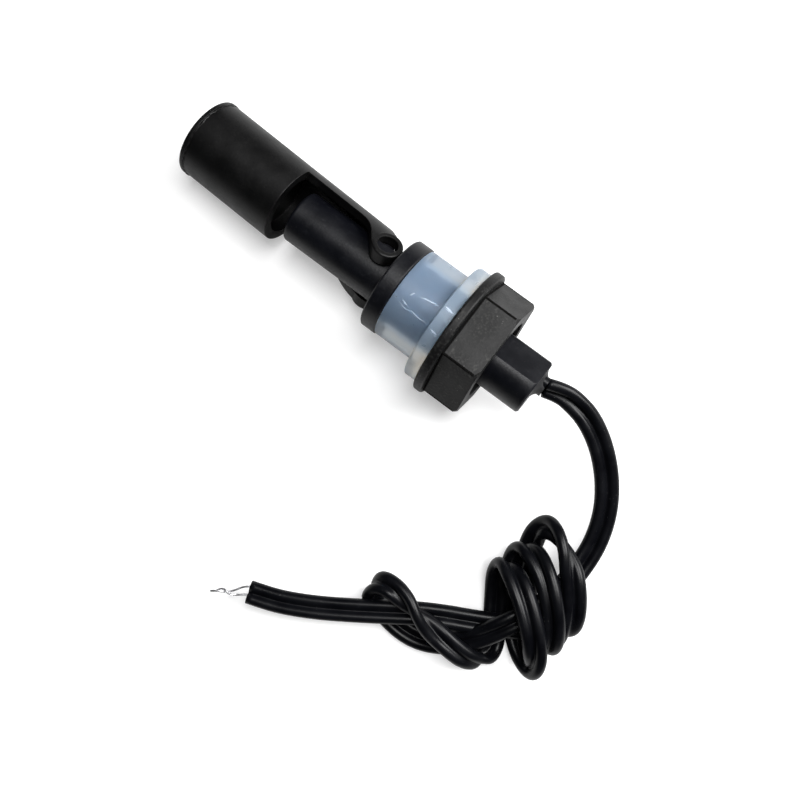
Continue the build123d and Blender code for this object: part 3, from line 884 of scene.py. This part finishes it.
# %% Bare strands
strand_places = {
    "bare_end_a": [(-0.0009, 0.0712, -0.0096), (0.0006, 0.0722, -0.0096), (0.0020, 0.0748, -0.0099),
                   (0.0034, 0.0760, -0.0098), (0.0047, 0.0766, -0.0094), (0.0060, 0.0777, -0.0098)],
    "bare_end_b": [(-0.0010, 0.0733, -0.0096), (0.0005, 0.0746, -0.0096), (0.0022, 0.0757, -0.0093),
                   (0.0036, 0.0753, -0.0095), (0.0046, 0.0760, -0.0100), (0.0051, 0.0771, -0.0098)],
}
strand_radius = 0.22 * MM
strand_count = 7
twists_per_metre = 420
strand_steps = 12


def twisted_section(turn):
    """A round bundle with a ripple for each strand, turned by an angle."""
    outline = []
    for step in range(4 * strand_count):
        angle = 2 * math.pi * step / (4 * strand_count)
        radius = strand_radius * (1 + 0.12 * math.cos(strand_count * angle + turn))
        outline.append((radius * math.cos(angle), radius * math.sin(angle)))
    return outline


def make_strand(name, places):
    """A twisted bare end along a spline, closed at both ends."""
    line = smooth_line([Vector(place) for place in places], strand_steps)
    lifted = [place + Vector((0, 0, MM)) for place in line]
    outlines = []
    travelled = 0.0
    for index, place in enumerate(line):
        travelled += (place - line[index - 1]).length if index else 0.0
        outlines.append(twisted_section(2 * math.pi * twists_per_metre * travelled))
    piece = sweep_outlines(name, ring_frames(line, lifted), outlines)
    piece.data.materials.append(tinned)
    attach(piece, "switch")
    return piece


bare_ends = [make_strand(name, places) for name, places in strand_places.items()]
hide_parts("bare_strand_a")
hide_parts("bare_strand_b")

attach(twin_cord, "switch")
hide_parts("cord_lead", "cord_knot", "cord_loop", "cord_end")
print("bare ends:", [piece.name for piece in bare_ends])

# %% [markdown]
# ## Steps behind the studs
#
# Each hinge stud is slanted on the side where the float's ear rides over it. The slant ends on a
# small step, which closes the view through the ear's hole. A half disc against the stud is enough
# for it, because little more than its flat end shows there.

# %% Half-round steps
step_radius, step_low, step_high = 2.15, 5.2, 6.75
step_points = 20
for name, side in (("stud_step_upper", 1), ("stud_step_lower", -1)):
    shape = bmesh.new()
    rims = []
    for height in (step_low, step_high):
        rim = []
        for step in range(step_points + 1):
            angle = -math.pi * step / step_points
            x = hinge_x + step_radius * math.cos(angle)
            y = step_radius * math.sin(angle)
            rim.append(shape.verts.new(on_switch(x, y, side * height)))
        rims.append(rim)
    for index in range(step_points + 1):
        after = (index + 1) % (step_points + 1)
        shape.faces.new((rims[0][index], rims[0][after], rims[1][after], rims[1][index]))
    shape.faces.new(rims[0])
    shape.faces.new(rims[1])
    bmesh.ops.recalc_face_normals(shape, faces=shape.faces)
    stud_step = new_mesh_piece(name, shape)
    stud_step.data.materials.append(body_black)
    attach(stud_step, "switch")
print("steps behind the studs made")

# %% [markdown]
# ## Weld bead
#
# The cap is hot-welded to the float, and the melted plastic leaves a thin uneven bead behind its
# lip. An even ring would look like a seal, so a few sine waves let its thickness and its place
# wander as it goes round.

# %% Bead behind the cap
bead_x = 65.25
bead_ring_radius = 9.1
bead_thickness = 0.16
bead_flatness = 1.3
around, section = 220, 8
shape = bmesh.new()
rings = []
for step in range(around):
    angle = 2 * math.pi * step / around
    wander = 0.5 * math.sin(7 * angle) + 0.3 * math.sin(17 * angle + 1) + 0.35 * math.sin(41 * angle + 2)
    thick = bead_thickness * (1 + 0.45 * wander)
    shift = 0.08 * math.sin(11 * angle) + 0.06 * math.sin(29 * angle)
    ring = []
    for corner in range(section):
        turn = 2 * math.pi * corner / section
        radius = bead_ring_radius + thick * math.cos(turn)
        x = bead_x + shift + bead_flatness * thick * math.sin(turn)
        place = Vector((x, radius * math.cos(angle), radius * math.sin(angle)))
        ring.append(shape.verts.new(float_lie @ (place * MM)))
    rings.append(ring)
for index, ring in enumerate(rings):
    other = rings[(index + 1) % around]
    for corner in range(section):
        after = (corner + 1) % section
        shape.faces.new((ring[corner], other[corner], other[after], ring[after])).smooth = True
bmesh.ops.recalc_face_normals(shape, faces=shape.faces)
weld_bead = new_mesh_piece("weld_bead", shape)
weld_bead.data.materials.append(float_black)
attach(weld_bead, "float")
print("weld bead:", len(weld_bead.data.polygons), "faces")
